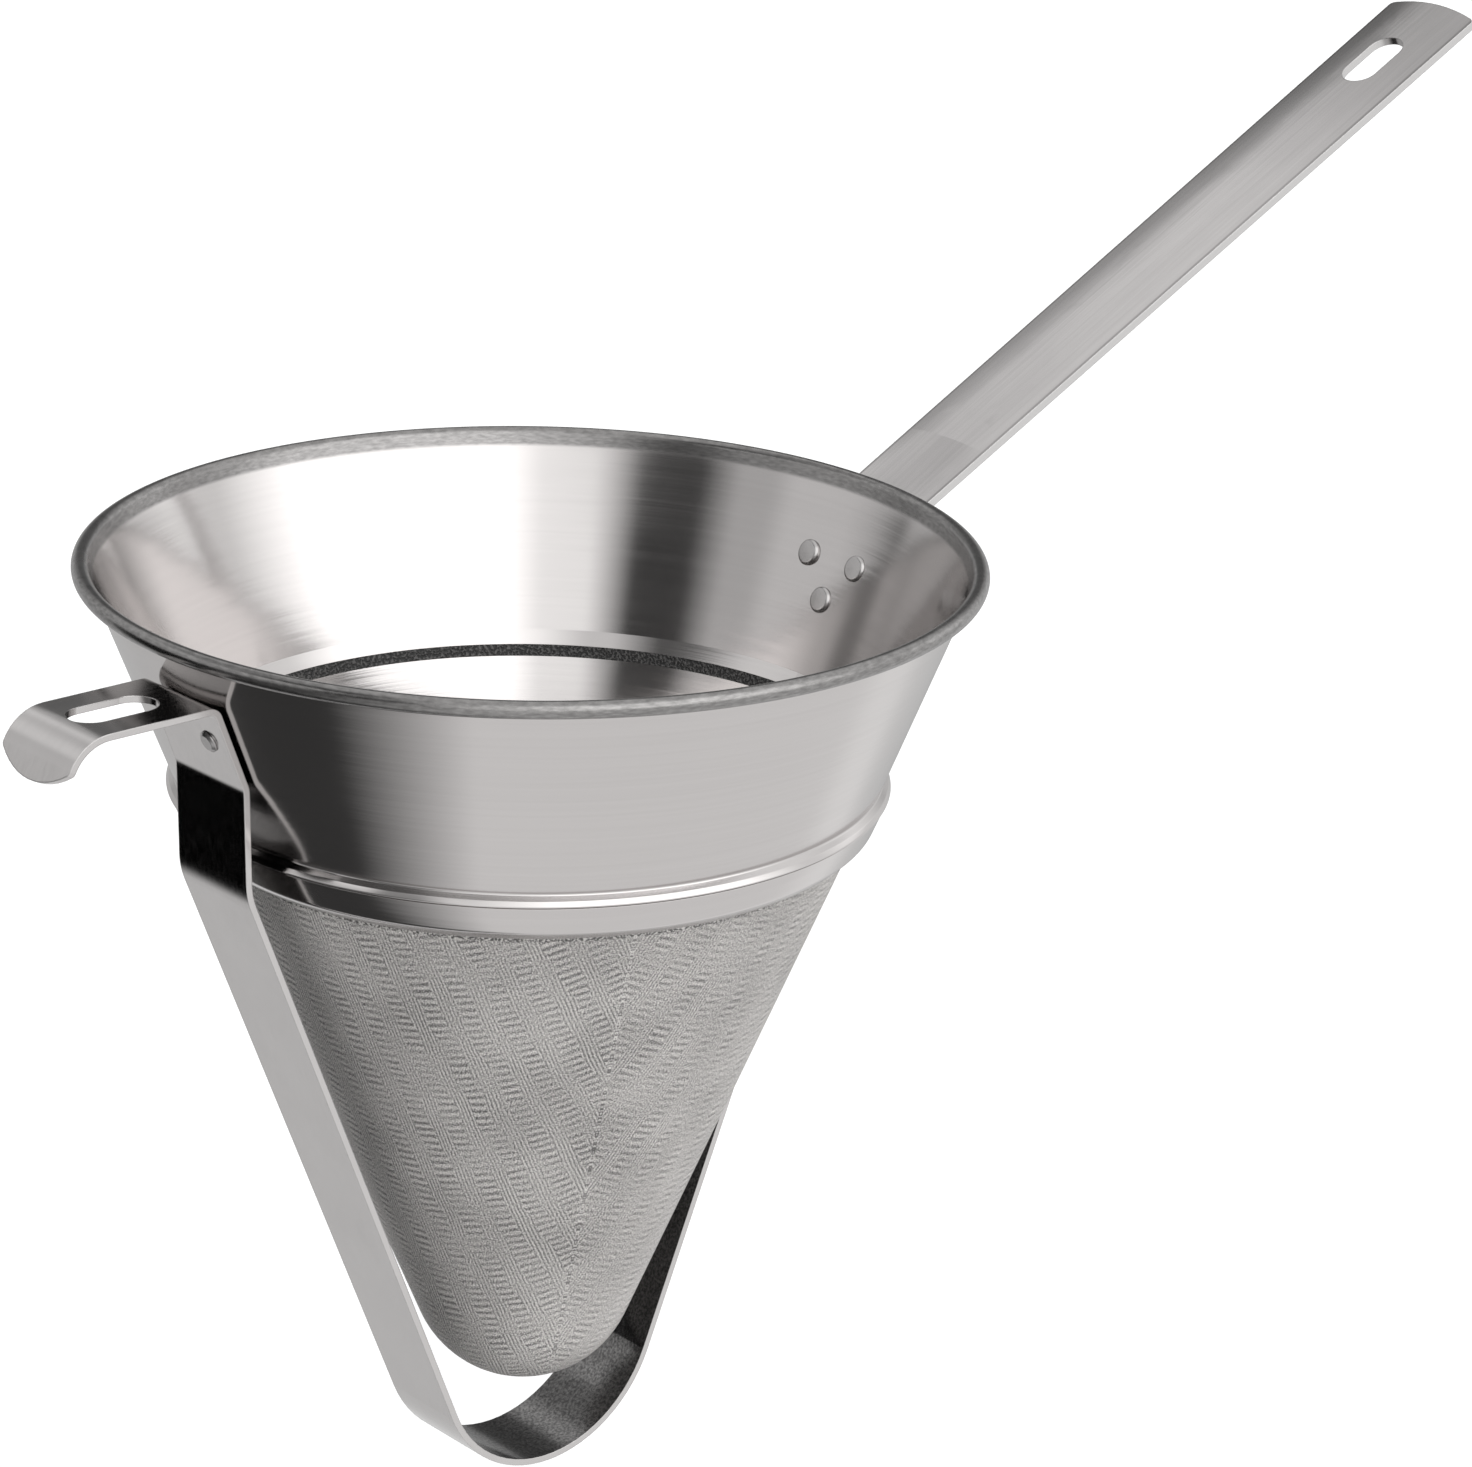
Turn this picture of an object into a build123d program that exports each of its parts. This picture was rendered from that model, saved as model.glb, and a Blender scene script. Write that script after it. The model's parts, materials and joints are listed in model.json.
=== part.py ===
from build123d import *
import math
import os

# A reinforced conical strainer. Lengths are millimetres. The origin is the centre of the rolled rim,
# +Z points up along the cone's axis, +X points to the handle and the pot hook lies toward -X.

# Collar: a spun steel band with a rolled rim, a swaged bead, and a bellied hem that closes on the cloth
rim_diameter = 200.0
roll_diameter = 3.8
sheet_thickness = 0.7
wall_angle = 21.2
roll_turn = 290.0
bead_depth = 48.8
bead_height = 2.2
bead_step = 1.1
bead_foot_radius = 0.7
bead_crest_radius = 0.9
crease_drop = 1.6
crease_height = 1.6
crease_radius = 0.55
hem_height = 8.4
hem_shoulder_drop = 0.8
hem_shoulder_height = 2.35
hem_shoulder_radius = 0.8
hem_belly_drop = 5.6
hem_belly_height = 2.7
hem_belly_radius = 8.0

# Wire cloth cone, clamped between the collar and the retaining ring, with a smooth seam above its edge
cloth_thickness = 0.8
cloth_lap = 13.1
cone_tip_depth = 195.4
cone_tip_radius = 26.0
clamp_clearance = 0.05
ring_thickness = 0.7
ring_lap = 10.8
seam_height = 3.1

# Guard strap: one strip that also makes the pot hook
strap_thickness = 1.5
strap_width = 24.3
strap_low_width = 21.6
seat_clearance = 0.05
hook_depth = 11.0
hook_reach = 119.5
hook_corner_radius = 2.6
lip_radius = 10.2
lip_angle = 64.0
lip_length = 5.0
lip_end_radius = 19.0
hook_slot_length = 21.0
hook_slot_width = 10.4
hook_slot_reach = 110.6
lip_corner_radius = 1.5
leaf_depth = 31.0
leaf_bend_radius = 5.0
guard_depth = 55.1
guard_standoff = 9.7
guard_bend_radius = 16.0
guard_tip_gap = 18.6
guard_tip_spread = 4.4
rear_leaf_top = 12.2

# Handle: a crowned strip on the strap's rear leaf
handle_thickness = 2.0
handle_angle = 27.2
handle_base_width = 24.9
handle_end_width = 27.0
handle_crown = 1.2
handle_corner_depth = 10.1
handle_length = 215.5
handle_bend_radius = 7.0
handle_flat_length = 6.0
handle_forming_length = 24.0
handle_end_radius = 60.0
handle_corner_radius = 1.5
handle_leaf_foot = 3.8
leaf_corner_radius = 7.0
slot_length = 18.6
slot_width = 9.4
slot_from_end = 24.6

# Rivets: shanks with a low bevelled head on each end
rivet_diameter = 3.0
rivet_hole_clearance = 0.1
rivet_head_diameter = 5.0
rivet_head_height = 0.8
rivet_edge_height = 0.3
rivet_crown_diameter = 3.6
rivet_pitch = 15.8
rivet_upper_depth = 17.4
rivet_lower_depth = 26.2
hook_rivet_depth = 20.2
hook_rivet_offset = 5.6

# Every cut runs past the faces that it opens by at least this length
overrun = 6.0

# Places worked out from the sizes
rim_radius = rim_diameter / 2
roll_radius = roll_diameter / 2
roll_centre = rim_radius - roll_radius
slope_sin = math.sin(math.radians(wall_angle))
slope_cos = math.cos(math.radians(wall_angle))
slope_tan = slope_sin / slope_cos
wall_inside_at_rim = roll_centre - roll_radius / slope_cos
wall_outside_at_rim = wall_inside_at_rim + sheet_thickness / slope_cos
crease_depth = bead_depth + crease_drop
hem_depth = crease_depth + hem_height
cloth_top_depth = hem_depth - cloth_lap
guard_tip_depth = cone_tip_depth + guard_tip_gap + strap_thickness
guard_tip_radius = cone_tip_radius + guard_tip_spread


def outside_radius(depth, offset=0):
    """Radius at a depth below the rim of a cone that lies offset outside the collar's outer face."""
    return wall_outside_at_rim - depth * slope_tan + offset / slope_cos


def revolved(path, thickness):
    """Solid of revolution about Z of a sheet whose middle line is path, drawn in the XZ plane."""
    return revolve(Plane.XZ * trace(path, thickness), Axis.Z, 360)


def wall_frame(side, offset, depth, across=0):
    """Plane square to the line that leaves the collar's outer face at a depth at +X (side 1) or -X (side -1).

    It lies offset along that line, across from the XZ plane, and its z axis points outward.
    """
    normal = Vector(side * slope_cos, 0, -slope_sin)
    place = Vector(side * outside_radius(depth), across, -depth) + normal * offset
    return Plane(origin=place, x_dir=(0, side, 0), z_dir=normal)


def rounded_end(width, end_radius, corner_radius):
    """Face over all that lies past the end of a strip along X that ends at the origin in a shallow arc."""
    kept = Pos(-end_radius) * Circle(end_radius) & Rectangle(2 * end_radius, width)
    kept = fillet(kept.vertices().sort_by(Axis.X)[-2:], corner_radius)
    return Rectangle(width, width + overrun) - kept


def line_to_tip(start, tip_depth, tip_radius):
    """Height of the round tip's centre, and angle from the axis of the line from start that touches it."""
    centre = tip_radius - tip_depth
    drop = start[1] - centre
    angle = math.atan2(start[0], drop) - math.asin(tip_radius / math.hypot(start[0], drop))
    return centre, angle


def rivet_seats():
    """Each rivet's side of the collar, depth, offset from the XZ plane, and the leaves that it holds."""
    front = seat_clearance + strap_thickness
    rear = front + seat_clearance + handle_thickness
    half_pitch = rivet_pitch / 2
    return {
        "handle_rivet_left": (1, rivet_upper_depth, half_pitch, rear),
        "handle_rivet_right": (1, rivet_upper_depth, -half_pitch, rear),
        "handle_rivet_lower": (1, rivet_lower_depth, 0, rear),
        "hook_rivet": (-1, hook_rivet_depth, -hook_rivet_offset, front),
    }


def rivet_holes():
    radius = (rivet_diameter + rivet_hole_clearance) / 2
    length = 2 * (strap_thickness + handle_thickness + overrun)
    return [
        wall_frame(side, 0, depth, across) * Cylinder(radius, length)
        for side, depth, across, leaves in rivet_seats().values()
    ]


def under_wall(offset, top_depth):
    """Solid of all below a depth and inside the cone that lies offset outside the collar's outer face."""
    floor = hem_depth + overrun
    outline = Polyline(
        (0, -top_depth),
        (outside_radius(top_depth, offset), -top_depth),
        (outside_radius(floor, offset), -floor),
        (0, -floor),
        close=True,
    )
    return revolve(Plane.XZ * make_face(outline), Axis.Z, 360)


def make_collar():
    middle = sheet_thickness / 2

    def on_wall(depth, proud=0):
        return (outside_radius(depth, proud - middle), -depth)

    wall = FilletPolyline(
        (outside_radius(hem_depth, -sheet_thickness), middle - hem_depth),
        on_wall(crease_depth + hem_belly_drop, hem_belly_height),
        on_wall(crease_depth + hem_shoulder_drop, hem_shoulder_height),
        on_wall(crease_depth, crease_height),
        on_wall(bead_depth, bead_height),
        on_wall(bead_depth - bead_step),
        (roll_centre - (roll_radius - middle) * slope_cos, (roll_radius - middle) * slope_sin),
        radius=(hem_belly_radius, hem_shoulder_radius, crease_radius, bead_crest_radius, bead_foot_radius),
    )
    # The rim rolls outward and down from the wall, round a hollow bore
    curl = CenterArc((roll_centre, 0), roll_radius - middle, 180 - wall_angle, -roll_turn)
    collar = revolved([*wall.edges(), *curl.edges()], sheet_thickness)
    # The hem's lip ends flat against the cloth
    return collar - under_wall(-sheet_thickness, crease_depth) - rivet_holes()


def make_mesh_cone():
    middle = cloth_thickness / 2
    lie = -sheet_thickness - clamp_clearance - middle
    top = (outside_radius(cloth_top_depth, lie), -cloth_top_depth)
    shoulder = (outside_radius(hem_depth, lie), -hem_depth)
    radius = cone_tip_radius - middle
    centre, angle = line_to_tip(shoulder, cone_tip_depth - middle, radius)
    touch = (radius * math.cos(angle), centre - radius * math.sin(angle))
    bow_angle = (math.pi / 2 + angle) / 2
    bow = (radius * math.cos(bow_angle), centre - radius * math.sin(bow_angle))
    path = [Line(top, shoulder), Line(shoulder, touch), ThreePointArc(touch, bow, (0, centre - radius))]
    return revolved(path, cloth_thickness)


def make_retaining_ring():
    lie = -sheet_thickness - cloth_thickness - 2 * clamp_clearance - ring_thickness / 2
    top_depth = hem_depth - ring_lap
    low = (outside_radius(hem_depth, lie), -hem_depth)
    high = (outside_radius(top_depth, lie), -top_depth)
    return revolved([Line(low, high)], ring_thickness)


def make_seam_fillet():
    """Ring that fills the corner between the collar's inner face and the cloth's top edge with a slope."""
    low_depth = cloth_top_depth - cloth_thickness * slope_sin / 2 - clamp_clearance
    top_depth = low_depth - seam_height
    wall_lie = -sheet_thickness - clamp_clearance
    toe_lie = wall_lie - cloth_thickness
    low = (outside_radius(low_depth, wall_lie), -low_depth)
    top = (outside_radius(top_depth, wall_lie), -top_depth)
    toe = (outside_radius(low_depth, toe_lie), -low_depth)
    return revolve(Plane.XZ * make_face(Polyline(top, low, toe, close=True)), Axis.Z, 360)


def strip(path, thickness, width):
    """Flat strip whose middle line is path in the XZ plane, centred on that plane."""
    return extrude(Plane.XZ * trace(path, thickness), width / 2, both=True)


def make_guard_strap():
    middle = strap_thickness / 2
    lie = seat_clearance + middle
    hook_level = -(hook_depth + middle)
    bend_run = lip_radius * math.tan(math.radians(lip_angle / 2))
    lip_x = -math.cos(math.radians(lip_angle))
    lip_z = -math.sin(math.radians(lip_angle))
    lip_corner = (-(hook_reach + bend_run), hook_level)
    lip_run = bend_run + lip_length
    lip_end = (lip_corner[0] + lip_run * lip_x, lip_corner[1] + lip_run * lip_z)
    guard = (outside_radius(guard_depth) + guard_standoff, -guard_depth)
    kink = (outside_radius(leaf_depth, lie), -leaf_depth)
    centre, angle = line_to_tip(guard, guard_tip_depth - middle, guard_tip_radius)
    path = FilletPolyline(
        lip_end,
        lip_corner,
        (-outside_radius(-hook_level, lie), hook_level),
        (-kink[0], kink[1]),
        (-guard[0], guard[1]),
        (0, centre - guard_tip_radius / math.sin(angle)),
        guard,
        kink,
        (outside_radius(rear_leaf_top, lie), -rear_leaf_top),
        radius=(
            lip_radius,
            hook_corner_radius,
            leaf_bend_radius,
            guard_bend_radius,
            guard_tip_radius,
            guard_bend_radius,
            leaf_bend_radius,
        ),
    )
    strap = strip([path], strap_thickness, strap_width)

    # The strap narrows evenly from the bend under the leaf to its lowest point
    half = strap_width / 2
    low_half = strap_low_width / 2
    floor = -(guard_tip_depth + overrun)
    right_side = [(half, overrun), (half, -guard_depth), (low_half, -guard_tip_depth), (low_half, floor)]
    left_side = [(-across, height) for across, height in reversed(right_side)]
    outline = Plane.YZ * make_face(Polyline(*right_side, *left_side, close=True))
    strap = strap & extrude(outline, rim_diameter, both=True)

    lip_plane = Plane(origin=(lip_end[0], 0, lip_end[1]), x_dir=(lip_x, 0, lip_z), z_dir=(lip_z, 0, -lip_x))
    past_lip = lip_plane * rounded_end(strap_width, lip_end_radius, lip_corner_radius)
    slot = Pos(-hook_slot_reach, 0, hook_level) * SlotOverall(hook_slot_length, hook_slot_width)
    cuts = [extrude(face, overrun, both=True) for face in (past_lip, slot)]
    return strap - cuts - rivet_holes()


def crowned_face(width, crown):
    """Cross-section of the handle: a strip whose middle stands higher than its edges by crown."""
    half = width / 2
    top = handle_thickness / 2
    right_end, left_end = (half, top), (-half, top)
    right_foot, left_foot = (half, -top), (-half, -top)
    if crown:
        over = ThreePointArc(right_end, (0, top + crown), left_end)
        under = ThreePointArc(left_foot, (0, crown - top), right_foot)
    else:
        over = Line(right_end, left_end)
        under = Line(left_foot, right_foot)
    return make_face([over, Line(left_end, left_foot), under, Line(right_foot, right_end)])


def make_handle():
    lie = 2 * seat_clearance + strap_thickness + handle_thickness / 2
    along = Vector(math.cos(math.radians(handle_angle)), 0, math.sin(math.radians(handle_angle)))
    corner = Vector(outside_radius(handle_corner_depth, lie), 0, -handle_corner_depth)
    bend_run = handle_bend_radius * math.tan(math.radians((90 - wall_angle - handle_angle) / 2))
    flat_end = bend_run + handle_flat_length
    formed_end = flat_end + handle_forming_length
    leaf_foot = rivet_lower_depth + handle_leaf_foot

    def section(run, width, crown):
        return Plane(origin=corner + along * run, x_dir=(0, 1, 0), z_dir=along) * crowned_face(width, crown)

    # A flat leaf bends out under the rim
    flat_stop = corner + along * flat_end
    path = FilletPolyline(
        (outside_radius(leaf_foot, lie), -leaf_foot),
        (corner.X, corner.Z),
        (flat_stop.X, flat_stop.Z),
        radius=handle_bend_radius,
    )
    base = strip([path], handle_thickness, handle_base_width)
    across_leaf = Axis((0, 0, 0), (slope_cos, 0, -slope_sin))
    base = fillet(base.edges().filter_by(across_leaf).sort_by(Axis.Z)[:2], leaf_corner_radius)

    # The grip is crowned past the bend and widens evenly to its end
    formed_share = handle_forming_length / (handle_length - flat_end)
    formed_width = handle_base_width + (handle_end_width - handle_base_width) * formed_share
    flat = section(flat_end, handle_base_width, 0)
    formed = section(formed_end, formed_width, handle_crown)
    end = section(handle_length, handle_end_width, handle_crown)
    handle = base + loft([flat, formed]) + loft([formed, end])

    def top_plane(run):
        return Plane(origin=corner + along * run, x_dir=along, z_dir=(-along.Z, 0, along.X))

    past_end = top_plane(handle_length) * rounded_end(handle_end_width, handle_end_radius, handle_corner_radius)
    slot = top_plane(handle_length - slot_from_end) * SlotOverall(slot_length, slot_width)
    cuts = [extrude(face, overrun, both=True) for face in (past_end, slot)]
    return handle - cuts - rivet_holes()


def rivet_head(skirt=0):
    """Low bevelled head about Z with its seat at zero height and its crown below, and a skirt above the seat."""
    radius = rivet_head_diameter / 2
    outline = Polyline(
        (0, -rivet_head_height),
        (rivet_crown_diameter / 2, -rivet_head_height),
        (radius, -rivet_edge_height),
        (radius, skirt),
        (0, skirt),
        close=True,
    )
    return revolve(Plane.XZ * make_face(outline), Axis.Z, 360)


def make_rivet(side, depth, across, leaves):
    # The round wall falls back from the flat leaves away from the XZ plane
    radius = outside_radius(depth)
    fall = (radius - math.sqrt(radius**2 - across**2)) * slope_cos
    inner_seat = sheet_thickness + fall + seat_clearance
    outer_seat = leaves + seat_clearance

    # The inner head is formed against the wall, so its seat follows the wall's inner face
    inside = under_wall(-sheet_thickness - seat_clearance, 0)
    inner_head = wall_frame(side, -inner_seat, depth, across) * rivet_head(sheet_thickness) & inside
    outer_head = wall_frame(side, outer_seat, depth, across) * (Rot(180, 0, 0) * rivet_head())
    length = inner_seat + outer_seat + 2 * rivet_edge_height
    shank = Cylinder(rivet_diameter / 2, length, align=(Align.CENTER, Align.CENTER, Align.MIN))
    shank = wall_frame(side, -inner_seat - rivet_edge_height, depth, across) * shank
    return inner_head + outer_head + shank


nodes = {
    "collar": make_collar(),
    "mesh_cone": make_mesh_cone(),
    "mesh_retaining_ring": make_retaining_ring(),
    "seam_fillet": make_seam_fillet(),
    "guard_strap": make_guard_strap(),
    "handle": make_handle(),
}
for name, seat in rivet_seats().items():
    nodes[name] = make_rivet(*seat)

os.makedirs("parts", exist_ok=True)
for name, shape in nodes.items():
    export_step(shape, f"parts/{name}.step")
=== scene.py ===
import bpy
import json
import math
from mathutils import Matrix, Vector


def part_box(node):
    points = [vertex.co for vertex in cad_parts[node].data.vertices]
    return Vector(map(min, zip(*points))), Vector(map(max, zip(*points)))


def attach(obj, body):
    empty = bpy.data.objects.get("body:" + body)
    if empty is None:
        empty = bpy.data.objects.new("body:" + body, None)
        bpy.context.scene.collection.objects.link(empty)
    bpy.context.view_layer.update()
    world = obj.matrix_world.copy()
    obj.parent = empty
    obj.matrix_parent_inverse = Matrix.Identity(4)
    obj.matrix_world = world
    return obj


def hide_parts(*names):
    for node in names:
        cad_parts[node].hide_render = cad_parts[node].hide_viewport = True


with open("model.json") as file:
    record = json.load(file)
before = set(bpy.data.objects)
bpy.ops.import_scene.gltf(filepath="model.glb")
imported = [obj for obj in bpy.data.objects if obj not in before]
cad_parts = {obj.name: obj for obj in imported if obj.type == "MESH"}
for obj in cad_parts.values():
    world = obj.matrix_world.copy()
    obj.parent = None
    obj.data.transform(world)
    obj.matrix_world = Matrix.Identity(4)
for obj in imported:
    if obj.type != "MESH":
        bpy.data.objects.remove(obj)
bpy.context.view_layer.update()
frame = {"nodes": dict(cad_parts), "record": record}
MM = 0.001
scene = bpy.context.scene

# The photograph's camera, in mm, degrees and pixels
view_azimuth = math.radians(-41.666)
view_elevation = math.radians(19.678)
view_roll = math.radians(1.582)
view_target = (0, 0, -75)
view_distance = 1120
view_right = 46.461
view_up = 32.778
photo_width_px = 1472
focal_length_px = 5010.9
sensor_width = 36

# The collar, whose sizes are its solid's
rim_radius = 98.1
roll_radius = 1.9
sheet = 0.7
wall_tilt = math.radians(21.2)
collar_segments = 480


def place_camera():
    """The photograph's view, with its place in mm about a point on the cone's axis."""
    back = Vector((math.sin(view_azimuth) * math.cos(view_elevation),
                   -math.cos(view_azimuth) * math.cos(view_elevation), math.sin(view_elevation)))
    right = Vector((math.cos(view_azimuth), math.sin(view_azimuth), 0))
    up = back.cross(right)
    x_axis = right * math.cos(view_roll) + up * math.sin(view_roll)
    y_axis = up * math.cos(view_roll) - right * math.sin(view_roll)
    place = Vector(view_target) + x_axis * view_right + y_axis * view_up + back * view_distance
    matrix = Matrix((x_axis, y_axis, back)).transposed().to_4x4()
    matrix.translation = place * MM
    data = bpy.data.cameras.new("camera")
    data.sensor_width = sensor_width
    data.sensor_fit = "HORIZONTAL"
    data.lens = sensor_width * focal_length_px / photo_width_px
    data.clip_start = 0.05
    data.clip_end = 20
    camera = bpy.data.objects.new("camera", data)
    camera.matrix_world = matrix
    scene.collection.objects.link(camera)
    scene.camera = camera


class Graph:
    """Short names for making shader nodes: an input is a socket to link or a value to set."""

    def __init__(self, tree):
        self.tree = tree

    def add(self, kind, inputs=(), **settings):
        made = self.tree.nodes.new("ShaderNode" + kind)
        for name, value in settings.items():
            setattr(made, name, value)
        for key, value in dict(inputs).items():
            if isinstance(value, bpy.types.NodeSocket):
                self.tree.links.new(value, made.inputs[key])
            else:
                made.inputs[key].default_value = value
        return made

    def math(self, operation, *values, clamp=False):
        made = self.add("Math", dict(enumerate(values)), operation=operation)
        made.use_clamp = clamp
        return made.outputs[0]

    def vector(self, operation, *values, output=0):
        return self.add("VectorMath", dict(enumerate(values)), operation=operation).outputs[output]

    def split(self, vector):
        return self.add("SeparateXYZ", {0: vector}).outputs

    def join(self, x, y, z):
        return self.add("CombineXYZ", {0: x, 1: y, 2: z}).outputs[0]

    def spread(self, value, low, high, new_low=0.0, new_high=1.0, smooth=False):
        kind = "SMOOTHSTEP" if smooth else "LINEAR"
        inputs = {"Value": value, "From Min": low, "From Max": high, "To Min": new_low, "To Max": new_high}
        return self.add("MapRange", inputs, interpolation_type=kind).outputs[0]

    def mix(self, factor, first, second):
        made = self.add("Mix", data_type="RGBA")
        for index, value in ((0, factor), (6, first), (7, second)):
            if isinstance(value, bpy.types.NodeSocket):
                self.tree.links.new(value, made.inputs[index])
            else:
                made.inputs[index].default_value = value
        return made.outputs[2]

    def ramp(self, value, stops):
        made = self.add("ValToRGB", {0: value})
        elements = made.color_ramp.elements
        while len(elements) < len(stops):
            elements.new(0.5)
        for element, (place, level) in zip(elements, stops):
            element.position = place
            element.color = (level, level, level, 1)
        return made.outputs[0]

    def noise(self, vector, scale, detail=2.0, roughness=0.5):
        inputs = {"Vector": vector, "Scale": scale, "Detail": detail, "Roughness": roughness}
        return self.add("TexNoise", inputs).outputs[0]


# The studio's broad screens, row by row upwards. Each lies between two angles, in degrees right of the
# camera, and sends one level of light, and between two screens the light turns evenly to the next.
low_screens = (
    (-180, -175, 0.8), (-150, -120, 0.7), (-110, -70, 0.05), (-20, 120, 0.95), (130, 140, 1.05),
    (155, 160, 0.7), (175, 180, 0.8),
)
level_screens = (
    (-180, -175, 0.45), (-150, -120, 0.6), (-115, -85, 0.0), (-70, -50, 0.15), (-10, 110, 1.0),
    (130, 140, 0.9), (175, 180, 0.45),
)
upper_screens = (
    (-180, -165, 0.15), (-135, -110, 0.65), (-95, -75, 0.8), (-68, -58, 0.6), (-47, -29, 0.04),
    (-15, 0, 1.4), (10, 72, 2.1), (98, 105, 1.0), (118, 130, 1.35), (165, 180, 0.15),
)
high_screens = (
    (-180, -165, 0.2), (-150, -120, 0.9), (-62, -52, 1.1), (-46, -34, 0.4), (-22, -15, 1.1),
    (15, 75, 2.1), (95, 105, 1.1), (150, 155, 0.8), (175, 180, 0.2),
)
top_screens = (
    (-180, -155, 1.0), (-138, -100, 0.5), (-75, -48, 0.1), (-30, -20, 0.9), (15, 75, 2.1),
    (95, 105, 1.1), (160, 180, 1.0),
)
screen_rows = (low_screens, level_screens, upper_screens, high_screens, top_screens)
# The sines of the elevations between which each row gives way to the next, and the last to the ceiling
row_joins = ((-0.62, -0.45), (0.09, 0.17), (0.40, 0.52), (0.58, 0.66))
ceiling_join = (0.82, 0.95)
ceiling_level = 1.0
screen_peak = 2.2
diffuse_level = 0.8

floor_height = -0.30
floor_reach = 3.5
floor_cells = 8
floor_glow = 0.42


def make_studio():
    """White to the camera, and the broad screens of a product studio to the metal."""
    world = bpy.data.worlds.new("studio")
    scene.world = world
    world.use_nodes = True
    graph = Graph(world.node_tree)
    world.node_tree.nodes.clear()
    direction = graph.add("TexCoord").outputs["Generated"]
    turned = graph.add("VectorRotate", {"Vector": direction, "Angle": math.pi / 2 - view_azimuth},
                       rotation_type="Z_AXIS").outputs[0]
    x, y, z = graph.split(turned)
    azimuth = graph.math("ARCTAN2", y, x)
    place = graph.math("MULTIPLY_ADD", azimuth, 1 / (2 * math.pi), 0.5)
    walls, *others = [graph.ramp(place, [((angle + 180) / 360, level / screen_peak)
                                         for *edges, level in row for angle in edges]) for row in screen_rows]
    for join, row in zip(row_joins, others):
        walls = graph.mix(graph.spread(z, *join, smooth=True), walls, row)
    ceiling = (*(ceiling_level / screen_peak,) * 3, 1)
    around = graph.mix(graph.spread(z, *ceiling_join, smooth=True), walls, ceiling)
    paths = graph.add("LightPath").outputs
    shine = graph.add("Background", {"Color": around, "Strength": screen_peak}).outputs[0]
    soft = graph.add("Background", {"Color": around, "Strength": screen_peak * diffuse_level}).outputs[0]
    white = graph.add("Background", {"Color": (1, 1, 1, 1), "Strength": 1.0}).outputs[0]
    lit = graph.add("MixShader", {0: paths["Is Diffuse Ray"], 1: shine, 2: soft}).outputs[0]
    seen = graph.add("MixShader", {0: paths["Is Camera Ray"], 1: lit, 2: white}).outputs[0]
    graph.add("OutputWorld", {0: seen})


def make_floor():
    """A wide pale floor under the strainer, which keeps its soft shadow."""
    faces = []
    marks = [floor_reach * (2 * step / floor_cells - 1) for step in range(floor_cells + 1)]
    points = [(x, y, floor_height) for y in marks for x in marks]
    for row in range(floor_cells):
        for column in range(floor_cells):
            near = row * len(marks) + column
            far = near + len(marks)
            faces.append((near, near + 1, far + 1, far))
    mesh = bpy.data.meshes.new("floor")
    mesh.from_pydata(points, [], faces)
    floor = bpy.data.objects.new("floor", mesh)
    scene.collection.objects.link(floor)
    material = bpy.data.materials.new("pale_floor")
    material.use_nodes = True
    material.node_tree.nodes.clear()
    graph = Graph(material.node_tree)
    diffuse = graph.add("BsdfDiffuse", {"Color": (0.8, 0.8, 0.8, 1)}).outputs[0]
    glow = graph.add("Emission", {"Color": (1, 1, 1, 1), "Strength": floor_glow}).outputs[0]
    both = graph.add("AddShader", {0: diffuse, 1: glow}).outputs[0]
    graph.add("OutputMaterial", {0: both})
    mesh.materials.append(material)
    floor.visible_glossy = False


# Where the materials change, in mm: the rim's roll, painted darker as shade, begins; the handle's far end
# darkens with painted shade; and the handle widens along X
roll_edge = (-2.3, -1.3)
handle_end_shade_span = (195, 285)
handle_run = (92, 287)
handle_half_widths = (12.4, 13.5)
handle_tilt = math.radians(27.2)
strap_middle = (0, 0, -120)


def steel(name, base, roughness, anisotropy=0.0):
    """A new steel and its graph: the shader, the object's own coordinates in mm."""
    material = bpy.data.materials.new(name)
    material.use_nodes = True
    graph = Graph(material.node_tree)
    shader = material.node_tree.nodes["Principled BSDF"]
    shader.inputs["Metallic"].default_value = 1
    shader.inputs["Base Color"].default_value = (*base, 1)
    shader.inputs["Roughness"].default_value = roughness
    shader.inputs["Anisotropic"].default_value = anisotropy
    place = graph.vector("SCALE", graph.add("TexCoord").outputs["Object"])
    place.node.inputs["Scale"].default_value = 1 / MM
    return material, graph, shader, place


def finish_bump(graph, shader, height, strength, depth, edge=0.0):
    """Bump of this depth in mm, over edges eased by a small radius in mm."""
    inputs = {"Height": height, "Strength": strength, "Distance": depth * MM}
    if edge:
        inputs["Normal"] = graph.add("Bevel", {"Radius": edge * MM}, samples=4).outputs[0]
    graph.tree.links.new(graph.add("Bump", inputs).outputs[0], shader.inputs["Normal"])


def tone(graph, shader, base, value, low, high):
    """Base colour that a 0 to 1 value takes from low to high times base."""
    dark, light = [(*(min(part * share, 1) for part in base), 1) for share in (low, high)]
    graph.tree.links.new(graph.mix(value, dark, light), shader.inputs["Base Color"])


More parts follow.
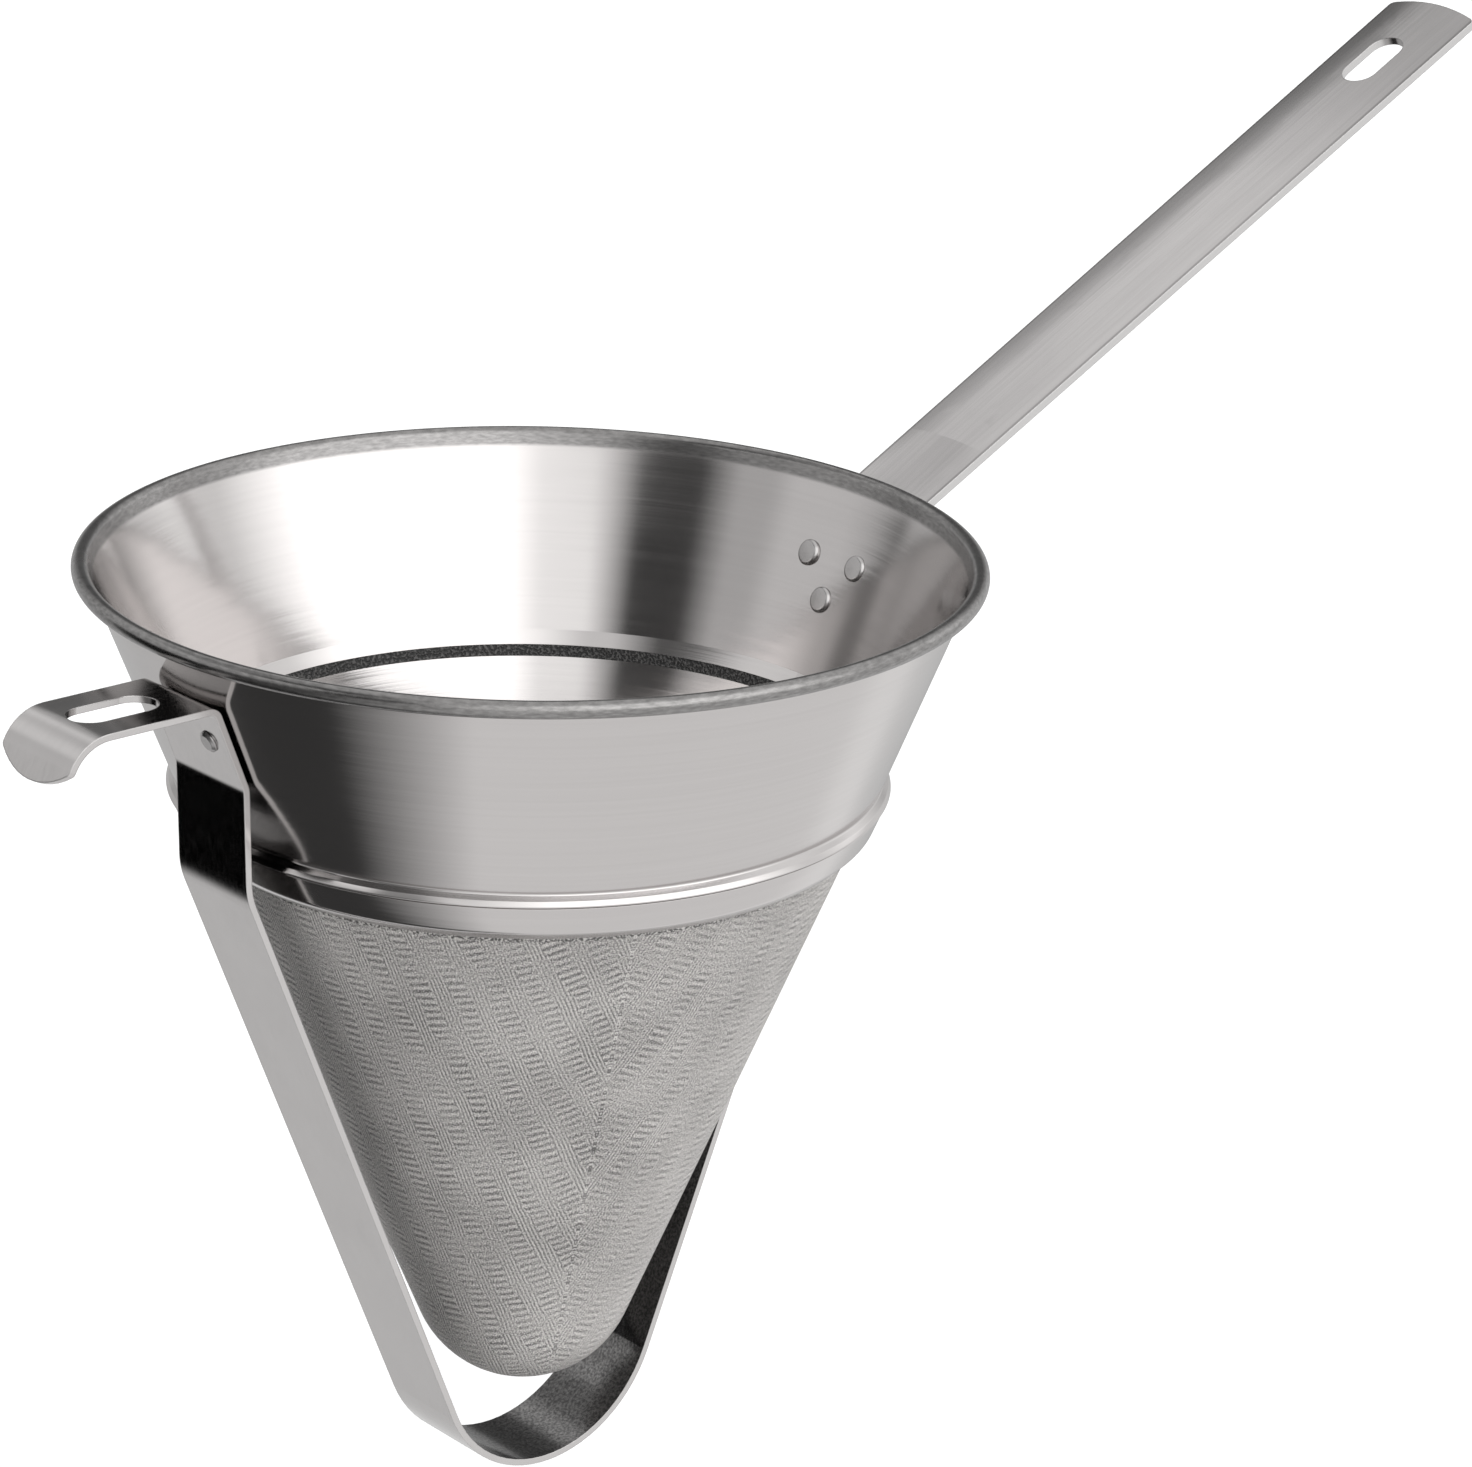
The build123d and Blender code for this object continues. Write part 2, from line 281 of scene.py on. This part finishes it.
def spun_steel(name, base, roughness, ring_depth, swell_depth):
    """Steel turned on a lathe: rings round the axis, a highlight across them and a rolled rim painted darker
    as shade.
    """
    material, graph, shader, place = steel(name, base, roughness, 0.55)
    x, y, z = graph.split(place)
    heading = graph.vector("NORMALIZE", graph.join(x, y, 0))
    sideways, forward, _ = graph.split(heading)
    rings = graph.vector("MULTIPLY", graph.join(sideways, forward, z), (1.2, 1.2, 2.4))
    lines = graph.noise(rings, 1.0, 4, 0.65)
    swell = graph.noise(graph.vector("MULTIPLY", rings, (0.5, 0.5, 0.11)), 1.0, 2)
    height = graph.math("MULTIPLY_ADD", swell, swell_depth / ring_depth, lines)
    finish_bump(graph, shader, height, 0.35, ring_depth)
    tangent = graph.add("Tangent", direction_type="RADIAL", axis="Z").outputs[0]
    graph.tree.links.new(tangent, shader.inputs["Tangent"])
    shader.inputs["Anisotropic Rotation"].default_value = 0.25
    tone(graph, shader, base, graph.noise(rings, 0.5, 3), 0.965, 1.03)
    # Painted shade: the rolled rim takes a dark colour with a random grain
    rolled = graph.spread(z, *roll_edge, smooth=True)
    wall_color = shader.inputs["Base Color"].links[0].from_socket
    rub = graph.spread(graph.noise(graph.vector("MULTIPLY", rings, (40.0, 40.0, 0.8)), 1.0, 3), 0.3, 0.7)
    roll_painted_shade = graph.mix(rub, (0.21, 0.205, 0.202, 1), (0.32, 0.312, 0.308, 1))
    graph.tree.links.new(graph.mix(rolled, wall_color, roll_painted_shade), shader.inputs["Base Color"])
    cloud = graph.spread(graph.noise(place, 0.03, 3), 0.3, 0.7, roughness * 0.85, roughness * 1.2)
    graph.tree.links.new(graph.math("MULTIPLY_ADD", rolled, 0.12, cloud), shader.inputs["Roughness"])
    return material


def drawn_steel(name, base, roughness, tilt, grain_depth, edge=0.35):
    """Steel strip brushed along a direction in the XZ plane, tilt radians up from X."""
    material, graph, shader, place = steel(name, base, roughness)
    turned = graph.add("VectorRotate", {"Vector": place, "Angle": tilt}, rotation_type="Y_AXIS").outputs[0]
    grain = graph.vector("MULTIPLY", turned, (0.02, 2.6, 0.5))
    lines = graph.noise(grain, 1.0, 4, 0.6)
    speckle = graph.noise(place, 2.2, 2)
    height = graph.math("MULTIPLY_ADD", speckle, 0.35, lines)
    finish_bump(graph, shader, height, 0.3, grain_depth, edge)
    tone(graph, shader, base, graph.noise(place, 0.05, 4), 0.93, 1.05)
    rub = graph.spread(graph.noise(grain, 0.6, 3), 0.3, 0.7, roughness * 0.8, roughness * 1.25)
    graph.tree.links.new(rub, shader.inputs["Roughness"])
    return material, graph, shader, place, grain


def strap_with_painted_inner_shade(name, base, roughness, grain_depth):
    """Bright rolled strip, with a dark, blotchy painted shade and reflection on the side that faces the cone.
    """
    material, graph, shader, place, _ = drawn_steel(name, base, roughness, 0.0, grain_depth)
    normal = graph.add("NewGeometry").outputs["Normal"]
    inward = graph.vector("NORMALIZE", graph.vector("SUBTRACT", strap_middle, place))
    facing = graph.vector("DOT_PRODUCT", normal, inward, output="Value")
    # Painted shade and reflection: faces turned towards the cone take a dark, blotchy colour
    scale = graph.spread(facing, 0.25, 0.4, smooth=True)
    clean = shader.inputs["Base Color"].links[0].from_socket
    painted_shade_patches = graph.spread(graph.noise(place, 1.6, 3), 0.35, 0.65)
    painted_inner_shade = graph.mix(painted_shade_patches, (0.09, 0.088, 0.088, 1), (0.24, 0.235, 0.232, 1))
    graph.tree.links.new(graph.mix(scale, clean, painted_inner_shade), shader.inputs["Base Color"])
    return material


def brushed_handle(name, base, roughness, grain_depth):
    """Strip brushed along the handle: fine streaks, painted shade towards its far end and along its top's
    edges, and a painted highlight on its sides.
    """
    material, graph, shader, place, grain = drawn_steel(name, base, roughness, handle_tilt, grain_depth)
    x, y, _ = graph.split(place)
    bright = shader.inputs["Base Color"].links[0].from_socket
    long_grain = graph.vector("MULTIPLY", grain, (1.0, 0.3, 0.2))
    streaks = graph.spread(graph.noise(long_grain, 1.0, 4, 0.7), 0.3, 0.7, 0.93, 1.03)
    # Painted shade: the top face darkens towards the handle's far end
    end = graph.spread(x, *handle_end_shade_span, 1.0, 0.62, smooth=True)
    # Painted shade: a darker band along the top face's edges
    half_width = graph.spread(x, *handle_run, *handle_half_widths)
    inset = graph.math("SUBTRACT", half_width, graph.math("ABSOLUTE", y))
    painted_edge_shade = graph.spread(inset, 0.35, 1.0, 0.62, 1.0, smooth=True)
    share = graph.math("MULTIPLY", graph.math("MULTIPLY", streaks, end), painted_edge_shade)
    face = graph.mix(share, (0, 0, 0, 1), bright)
    # Painted highlight: the side faces take a lighter colour than the top
    sideways = graph.math("ABSOLUTE", graph.split(graph.add("NewGeometry").outputs["Normal"])[1])
    painted_side_highlight = graph.spread(sideways, 0.6, 0.85, smooth=True)
    graph.tree.links.new(graph.mix(painted_side_highlight, face, (0.62, 0.61, 0.605, 1)), shader.inputs["Base Color"])
    return material


def rivet_steel(name, base, roughness):
    """Pressed steel, faintly uneven."""
    material, graph, shader, place = steel(name, base, roughness)
    height = graph.noise(place, 0.9, 3)
    finish_bump(graph, shader, height, 0.35, 0.05, 0.25)
    tone(graph, shader, base, graph.noise(place, 0.6, 3), 0.93, 1.05)
    return material


# The wire cloth laid out flat from the cone's apex: its twill's angles from down the seam, and pitches
seam_azimuth = math.radians(-111.0)
cone_apex = -238.3
band_angle = math.radians(28.5)
steep_angle = math.radians(24.5)
cross_angle = math.radians(114.0)
band_pitch = 8.07
steep_pitch = 0.83
cross_pitch = 1.98
wire_pitch = 0.36
# The hem's lower edge, and the height above which the cloth within the collar is painted dark as shade
hem_edge = -58.8
lap_depth = -50.0


def lay_flat(graph, place):
    """Where a place on the cone is: angle from the seam, height, and across and along the flat cloth.

    The cloth's two sides mirror each other about the seam, so across has one sign on both.
    """
    turned = graph.add("VectorRotate", {"Vector": place, "Angle": -seam_azimuth}, rotation_type="Z_AXIS")
    x, y, z = graph.split(turned.outputs[0])
    rise = graph.math("SUBTRACT", z, cone_apex)
    radius = graph.vector("LENGTH", graph.join(x, y, 0), output="Value")
    slant = graph.vector("LENGTH", graph.join(x, y, rise), output="Value")
    heading = graph.math("ARCTAN2", y, x)
    around = graph.math("ABSOLUTE", heading)
    angle = graph.math("DIVIDE", graph.math("MULTIPLY", around, radius), slant)
    across = graph.math("MULTIPLY", graph.math("MULTIPLY", slant, graph.math("SINE", angle)), -1.0)
    along = graph.math("MULTIPLY", slant, graph.math("COSINE", angle))
    return heading, z, across, along


def twilled_cloth(name, base, roughness):
    """Fine wire cloth whose twill runs in bands that meet at the cone's seam."""
    material, graph, shader, place = steel(name, base, roughness)
    shader.inputs["Metallic"].default_value = 0.4
    heading, z, across, along = lay_flat(graph, place)
    flat = graph.join(across, along, 0)
    wander = graph.noise(flat, 0.06, 5, 0.62)

    def lines(direction, pitch, drift=0.0):
        """Waves that run at this angle from down the seam, and wander by a share of drift turns."""
        first = graph.math("MULTIPLY", across, math.cos(direction) / pitch)
        turns = graph.math("MULTIPLY_ADD", along, math.sin(direction) / pitch, first)
        if drift:
            turns = graph.math("MULTIPLY_ADD", wander, drift, turns)
        return graph.math("SINE", graph.math("MULTIPLY", turns, 2 * math.pi))

    bands = lines(band_angle, band_pitch, 0.8)
    in_steep = graph.spread(bands, -0.25, 0.25, smooth=True)
    steep = lines(steep_angle, steep_pitch, 1.7)
    cross = graph.spread(lines(cross_angle, cross_pitch, 1.2), -0.9, 0.7, -1.2, 0.8)
    wires = lines(steep_angle, wire_pitch)
    weft = lines(cross_angle, wire_pitch)
    steep = graph.math("MULTIPLY_ADD", weft, 0.55, steep)
    cross = graph.math("MULTIPLY_ADD", wires, 0.45, cross)
    ridges = graph.add("Mix", {0: in_steep, 2: cross, 3: steep}).outputs[0]
    fade = graph.spread(graph.noise(place, 0.11, 3, 0.6), 0.35, 0.62, 0.25, 0.95)
    side = graph.spread(heading, -0.02, 0.02, 1.0, 0.76)
    ridges = graph.math("MULTIPLY", ridges, graph.math("MULTIPLY", fade, side))
    fleck = graph.spread(graph.noise(flat, 2.4, 2, 0.7), 0.3, 0.7, -1.0, 1.0)
    height = graph.math("MULTIPLY_ADD", fleck, 1.75, ridges)
    row = graph.spread(z, hem_edge - 1.9, hem_edge - 1.5, 0.0, 1.0, smooth=True)
    seam = graph.spread(graph.math("ABSOLUTE", across), 0.25, 0.6, 1.0, 0.0, smooth=True)
    dots = graph.spread(graph.noise(flat, 1.5, 1), 0.4, 0.6, -1.6, 1.2)
    marked = graph.math("MAXIMUM", row, graph.math("MULTIPLY", seam, 0.85))
    height = graph.add("Mix", {0: marked, 2: height, 3: dots}).outputs[0]
    finish_bump(graph, shader, height, 0.8, 0.12)
    # Painted shadow: the row just under the hem is darkened
    relief_and_hem_shadow = graph.math("MULTIPLY_ADD", row, -0.5, height)
    patch = graph.spread(graph.noise(place, 0.05, 3), 0.3, 0.7, -0.3, 0.3)
    # The colour follows the relief's height and random blotches: partly the dark gaps between wires, partly
    # painted shade in the valleys and painted highlight on the ridges
    shade = graph.spread(graph.math("ADD", relief_and_hem_shadow, patch), -1.7, 1.5)
    # Painted shade: the cloth above lap_depth, within the collar, is coloured near black
    inside = graph.spread(z, lap_depth - 0.2, lap_depth, smooth=True)
    dark, light = [(*(part * share for part in base), 1) for share in (0.22, 1.62)]
    outer_color = graph.mix(shade, dark, light)
    lap_shade_color = graph.mix(shade, (0.03, 0.03, 0.03, 1), (0.13, 0.127, 0.125, 1))
    graph.tree.links.new(graph.mix(inside, outer_color, lap_shade_color), shader.inputs["Base Color"])
    return material


def wall_radius(z, inward=0.0):
    """Radius of the collar's outer face at a height, or of the cone that lies inward of it."""
    inner = rim_radius - roll_radius / math.cos(wall_tilt)
    return inner + (sheet - inward) / math.cos(wall_tilt) + z * math.tan(wall_tilt)


def rounded(corners):
    """Points of a line through corners (radius, height, fillet), each corner eased by its fillet."""
    points = []
    for index, (r, z, fillet) in enumerate(corners):
        here = Vector((r, z))
        if not fillet or index in (0, len(corners) - 1):
            points.append(here)
            continue
        before = (Vector(corners[index - 1][:2]) - here).normalized()
        after = (Vector(corners[index + 1][:2]) - here).normalized()
        half = before.angle(after) / 2
        reach = fillet / math.tan(half)
        centre = here + (before + after).normalized() * fillet / math.sin(half)
        start, end = here + before * reach - centre, here + after * reach - centre
        turn = start.angle(end)
        steps = max(3, round(math.degrees(turn) / 6))
        for step in range(steps + 1):
            share = step / steps
            arm = (start * math.sin((1 - share) * turn) + end * math.sin(share * turn)) / math.sin(turn)
            points.append(centre + arm)
    return points


def arc(centre, radius, start, end, steps):
    """Points of an arc, by angles in degrees."""
    turns = [math.radians(start + (end - start) * step / steps) for step in range(steps + 1)]
    return [Vector(centre) + radius * Vector((math.cos(turn), math.sin(turn))) for turn in turns]


def spin(name, outline, segments):
    """Closed outline of (radius, height) points turned about Z, smooth but where it turns sharply."""
    count = len(outline)
    places = [(r * MM * math.cos(turn), r * MM * math.sin(turn), z * MM)
              for turn in (2 * math.pi * step / segments for step in range(segments)) for r, z in outline]
    faces = []
    for step in range(segments):
        here, there = step * count, (step + 1) % segments * count
        for index in range(count):
            following = (index + 1) % count
            faces.append((here + index, there + index, there + following, here + following))
    mesh = bpy.data.meshes.new(name)
    mesh.from_pydata(places, [], faces)
    mesh.shade_smooth()
    corners = set()
    for index in range(count):
        before = (outline[index] - outline[index - 1]).normalized()
        after = (outline[(index + 1) % count] - outline[index]).normalized()
        if before.angle(after) > math.radians(25):
            corners.add(index)
    for edge in mesh.edges:
        first, second = edge.vertices
        if first % count == second % count and first % count in corners:
            edge.use_edge_sharp = True
    piece = bpy.data.objects.new(name, mesh)
    scene.collection.objects.link(piece)
    return piece


def make_collar():
    """The spun collar with a crisper bead, crease and hem than its solid."""
    roll_start = 180 - math.degrees(wall_tilt)
    roll_end = roll_start - 290
    wall_top, bead_top, lip_height = -2.4, -47.6, -59.0
    lip_radius = wall_radius(lip_height, sheet)
    wall = [(wall_radius(wall_top), wall_top, 0), (wall_radius(bead_top), bead_top, 0.5)]
    bead = [(79.60, -48.65, 0.5), (80.16, -49.65, 0.35), (80.16, -49.92, 0.12)]
    crease = [(79.20, -50.02, 0), (79.20, -50.24, 0)]
    hem = [(79.74, -50.30, 0.12), (77.00, -56.90, 3.0), (74.75, -58.90, 0.25)]
    lip = [(lip_radius + 0.25, lip_height, 0.1), (lip_radius, lip_height, 0)]
    outer = rounded([*wall, *bead, *crease, *hem, *lip])
    inner = [Vector((wall_radius(z, sheet), z)) for z in (-50.0, -42.0, -34.0, -26.0, -18.0, -10.0, -4.0)]
    over = arc((rim_radius, 0), roll_radius, roll_start, roll_end, 48)
    under = arc((rim_radius, 0), roll_radius - sheet, roll_end, roll_start, 20)
    piece = spin("spun_collar", [*outer, *inner, *over, *under], collar_segments)
    piece.data.materials.append(materials["satin_steel"])
    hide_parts("collar")
    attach(piece, "root")


def make_rivet_heads():
    """The broad flattened heads that the handle's rivets show inside the collar."""
    crown = [(0.02, 0.93, 0), (2.55, 0.90, 0.6), (3.08, 0.35, 0.3)]
    outline = rounded([*crown, (3.12, -0.4, 0), (0.02, -0.4, 0)])
    axis = Vector((math.cos(wall_tilt), 0, -math.sin(wall_tilt)))
    for side in ("left", "right", "lower"):
        low, high = (Vector(corner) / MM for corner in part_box("handle_rivet_" + side))
        foot = (low + high) / 2
        # Slid along the rivet's axis until it lies on the collar's inner face
        for _ in range(8):
            foot -= axis * (math.hypot(foot.x, foot.y) - wall_radius(foot.z, sheet)) / math.cos(wall_tilt)
        piece = spin("rivet_head_" + side, outline, 96)
        turn = (-axis).to_track_quat("Z", "Y").to_matrix().to_4x4()
        turn.translation = foot * MM
        piece.data.transform(turn)
        piece.data.materials.append(materials["rivet_steel"])
        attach(piece, "root")


place_camera()
make_studio()
make_floor()
scene.view_settings.view_transform = "Standard"
materials = {
    "satin_steel": spun_steel("spun_satin_steel", (0.56, 0.54, 0.533), 0.13, 0.018, 0.11),
    "strap_steel": strap_with_painted_inner_shade("rolled_strip_steel", (0.58, 0.563, 0.556), 0.15, 0.008),
    "handle_steel": brushed_handle("brushed_handle_steel", (0.57, 0.553, 0.548), 0.2, 0.01),
    "wire_cloth": twilled_cloth("twilled_wire_cloth", (0.485, 0.468, 0.455), 0.45),
    "rivet_steel": rivet_steel("pressed_rivet_steel", (0.47, 0.458, 0.454), 0.27),
}
slots = {subpart["node"]: subpart["material_slot"] for subpart in frame["record"]["subparts"]}
for name, node in frame["nodes"].items():
    for slot in node.material_slots:
        slot.material = materials[slots[name]]

make_collar()
make_rivet_heads()
